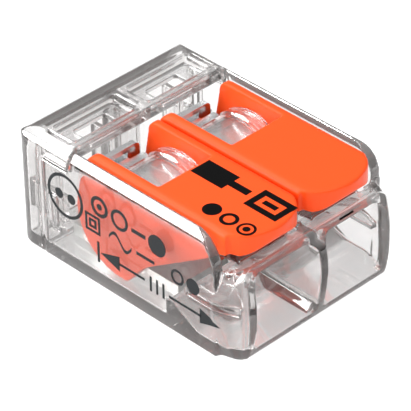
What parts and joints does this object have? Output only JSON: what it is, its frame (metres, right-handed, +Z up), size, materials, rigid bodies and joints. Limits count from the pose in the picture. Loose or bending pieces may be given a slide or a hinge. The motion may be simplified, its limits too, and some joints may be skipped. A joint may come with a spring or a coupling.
{
  "type": "lever wire connector",
  "caption": "Clear splice connector for electrical conductors: front wire entries, orange levers that open the spring clamps, and a snap-in rear cover.",
  "frame": {"origin": "centre of the flat underside", "axes": "+X across the poles, +Y from the wire entries to the rear cover, +Z up"},
  "size_m": [0.0132, 0.0182, 0.0077],
  "materials": {
    "clear_plastic": "clear, glossy",
    "orange_plastic": "satin",
    "tinned_copper": "satin tin plating",
    "spring_steel": "bright rolled"
  },
  "bodies": {
    "connector_body": {"housing": "clear_plastic", "rear_cover": "clear_plastic", "busbar": "tinned_copper", "holding_frame_left": "spring_steel", "holding_frame_right": "spring_steel", "clamp_spring_left": "spring_steel", "clamp_spring_right": "spring_steel"},
    "lever_left": {"lever_left": "orange_plastic"},
    "lever_right": {"lever_right": "orange_plastic"},
    "tongue_left": {"clamp_tongue_left": "spring_steel"},
    "tongue_right": {"clamp_tongue_right": "spring_steel"}
  },
  "joints": [
    {"name": "lever_left_swing", "type": "hinge", "parent": "connector_body", "child": "lever_left", "pos_m": [-0.0028, 0.00105, 0.0042], "axis": [-1, 0, 0], "range_deg": [0, 90]},
    {"name": "tongue_left_flex", "type": "hinge", "parent": "connector_body", "child": "tongue_left", "pos_m": [-0.0028, 0, 0.00475], "axis": [1, 0, 0], "range_deg": [0, 34]},
    {"name": "lever_right_swing", "type": "hinge", "parent": "connector_body", "child": "lever_right", "pos_m": [0.0028, 0.00105, 0.0042], "axis": [-1, 0, 0], "range_deg": [0, 90]},
    {"name": "tongue_right_flex", "type": "hinge", "parent": "connector_body", "child": "tongue_right", "pos_m": [0.0028, 0, 0.00475], "axis": [1, 0, 0], "range_deg": [0, 34]}
  ],
  "couplings": [
    {"joint": "tongue_left_flex", "follows": "lever_left_swing", "ratio": 0.3777},
    {"joint": "tongue_right_flex", "follows": "lever_right_swing", "ratio": 0.3777}
  ]
}
